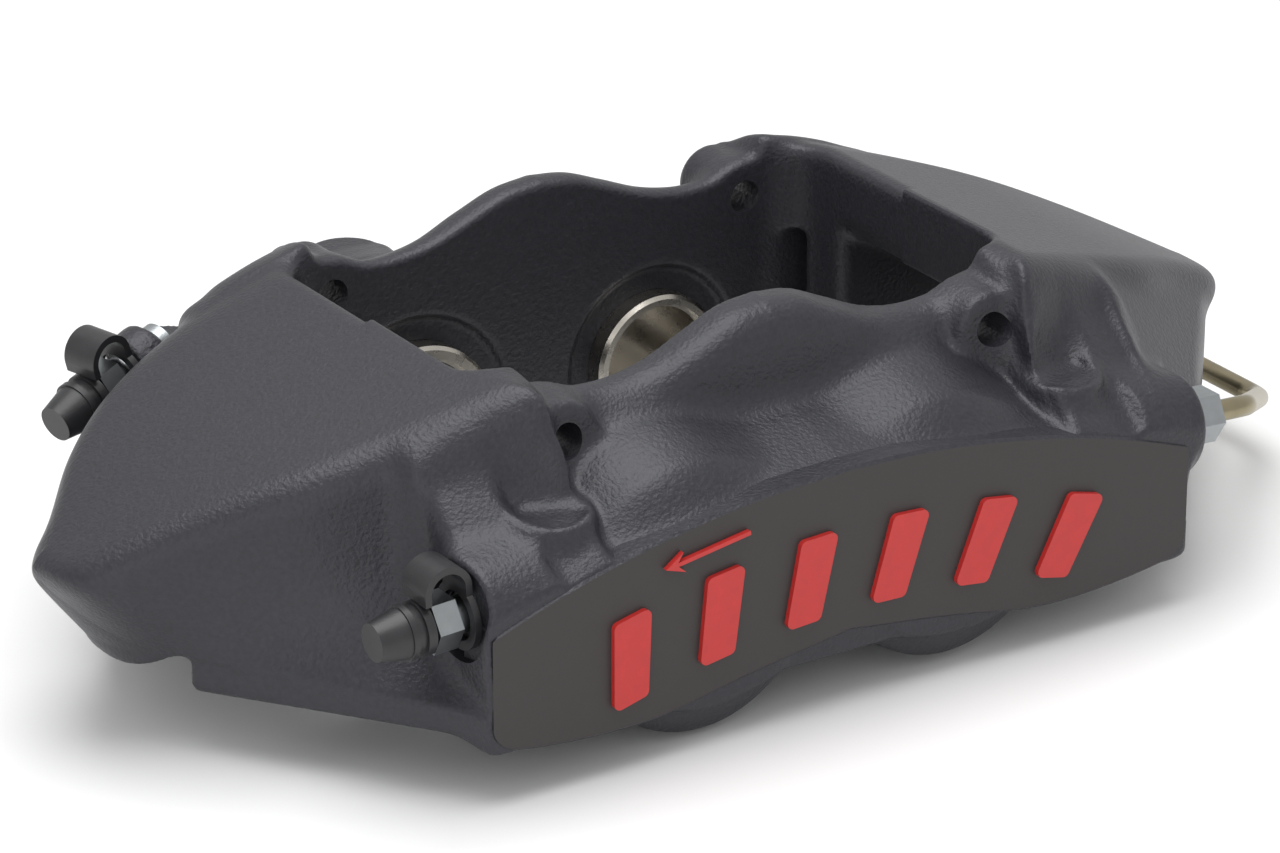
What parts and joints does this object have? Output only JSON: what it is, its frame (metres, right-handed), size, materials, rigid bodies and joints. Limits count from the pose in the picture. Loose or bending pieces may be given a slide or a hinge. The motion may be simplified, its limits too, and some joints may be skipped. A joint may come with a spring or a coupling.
{
  "type": "brake caliper",
  "caption": "Fixed radial-mount disc brake caliper with opposed hollow pistons, bleed screws under rubber caps and an external crossover pipe.",
  "frame": {"origin": "midway between the two mounting bolt holes, on the plane of the mounting faces", "axes": "+Z away from the wheel axis, parallel to the mounting bolts; +X along the bolt line, towards the leading (small) pistons; +Y inboard, parallel to the wheel axis"},
  "size_m": [0.3069, 0.1682, 0.0795],
  "materials": {
    "anodised_body": "charcoal hard anodising over forged and machined aluminium, satin",
    "piston_metal": "turned and brushed, nickel tone",
    "seal_rubber": "matt black",
    "zinc_plated_steel": "zinc plated, satin",
    "cap_rubber": "moulded black rubber, satin",
    "pipe_steel": "olive-bronze coated steel tube",
    "red_paint": "satin red paint on raised marks"
  },
  "bodies": {
    "caliper": {"caliper_body": "anodised_body", "crossover_pipe": "pipe_steel", "face_marks": "red_paint", "inboard_cap_strap": "cap_rubber", "inboard_leading_seal": "seal_rubber", "inboard_leading_wiper": "seal_rubber", "inboard_pipe_nut": "zinc_plated_steel", "inboard_trailing_seal": "seal_rubber", "inboard_trailing_wiper": "seal_rubber", "outboard_cap_strap": "cap_rubber", "outboard_leading_seal": "seal_rubber", "outboard_leading_wiper": "seal_rubber", "outboard_pipe_nut": "zinc_plated_steel", "outboard_trailing_seal": "seal_rubber", "outboard_trailing_wiper": "seal_rubber", "rotation_arrow": "red_paint"},
    "inboard_bleed_cap_body": {"inboard_bleed_cap": "cap_rubber"},
    "inboard_bleed_screw_body": {"inboard_bleed_screw": "zinc_plated_steel"},
    "inboard_leading_piston_body": {"inboard_leading_piston": "piston_metal"},
    "inboard_trailing_piston_body": {"inboard_trailing_piston": "piston_metal"},
    "outboard_bleed_cap_body": {"outboard_bleed_cap": "cap_rubber"},
    "outboard_bleed_screw_body": {"outboard_bleed_screw": "zinc_plated_steel"},
    "outboard_leading_piston_body": {"outboard_leading_piston": "piston_metal"},
    "outboard_trailing_piston_body": {"outboard_trailing_piston": "piston_metal"}
  },
  "joints": [
    {"name": "outboard_leading_piston_slide", "type": "slide", "parent": "caliper", "child": "outboard_leading_piston_body", "axis": [0, 1, 0], "range_m": [-0.005, 0.013]},
    {"name": "outboard_trailing_piston_slide", "type": "slide", "parent": "caliper", "child": "outboard_trailing_piston_body", "axis": [0, 1, 0], "range_m": [-0.005, 0.013]},
    {"name": "outboard_bleed_screw_turn", "type": "hinge", "parent": "caliper", "child": "outboard_bleed_screw_body", "pos_m": [-0.087, -0.1435, 0.0295], "axis": [-0.9988, 0, -0.0499], "range_deg": [0, 270]},
    {"name": "outboard_bleed_cap_pull", "type": "slide", "parent": "outboard_bleed_screw_body", "child": "outboard_bleed_cap_body", "axis": [-0.9988, 0, -0.0499], "range_m": [0, 0.025]},
    {"name": "inboard_leading_piston_slide", "type": "slide", "parent": "caliper", "child": "inboard_leading_piston_body", "axis": [0, -1, 0], "range_m": [-0.005, 0.013]},
    {"name": "inboard_trailing_piston_slide", "type": "slide", "parent": "caliper", "child": "inboard_trailing_piston_body", "axis": [0, -1, 0], "range_m": [-0.005, 0.013]},
    {"name": "inboard_bleed_screw_turn", "type": "hinge", "parent": "caliper", "child": "inboard_bleed_screw_body", "pos_m": [-0.096, -0.0195, 0.041], "axis": [-0.9299, -0.25, -0.27], "range_deg": [0, 270]},
    {"name": "inboard_bleed_cap_pull", "type": "slide", "parent": "inboard_bleed_screw_body", "child": "inboard_bleed_cap_body", "axis": [-0.9299, -0.25, -0.27], "range_m": [0, 0.025]}
  ]
}
